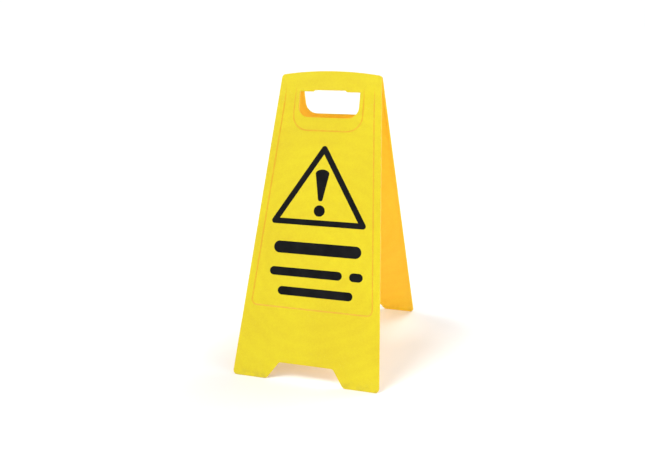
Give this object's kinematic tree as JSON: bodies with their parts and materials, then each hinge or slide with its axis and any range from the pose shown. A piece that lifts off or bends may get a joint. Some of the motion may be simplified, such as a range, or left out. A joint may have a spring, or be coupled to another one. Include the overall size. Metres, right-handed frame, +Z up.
{
  "type": "folding floor sign",
  "caption": "Folding A-shaped yellow floor sign of two hinged boards with carry openings, foot notches, a hazard triangle and plain message bars.",
  "frame": {"origin": "on the floor, midway between the two boards' feet, under the middle of the hinge", "axes": "+Z up; the front board's message faces -Y; +X is to the right of someone who reads the front board; the hinge axis is along X"},
  "size_m": [0.2986, 0.4164, 0.5842],
  "materials": {
    "yellow_plastic": "satin",
    "black_vinyl": "satin",
    "steel_pin": "satin"
  },
  "bodies": {
    "front_leaf": {"front_board": "yellow_plastic", "front_hazard_triangle": "black_vinyl", "front_exclamation_stroke": "black_vinyl", "front_exclamation_dot": "black_vinyl", "front_message_bar_top": "black_vinyl", "front_message_bar_long": "black_vinyl", "front_message_bar_short": "black_vinyl", "front_message_bar_low": "black_vinyl", "left_hinge_pin": "steel_pin"},
    "rear_leaf": {"rear_board": "yellow_plastic", "rear_hazard_triangle": "black_vinyl", "rear_exclamation_stroke": "black_vinyl", "rear_exclamation_dot": "black_vinyl", "rear_message_bar_top": "black_vinyl", "rear_message_bar_long": "black_vinyl", "rear_message_bar_short": "black_vinyl", "rear_message_bar_low": "black_vinyl", "right_hinge_pin": "steel_pin"}
  },
  "joints": [
    {"name": "fold", "type": "hinge", "parent": "front_leaf", "child": "rear_leaf", "pos_m": [0, 0, 0.56954], "axis": [-1, 0, 0], "range_deg": [0, 39.3]}
  ]
}
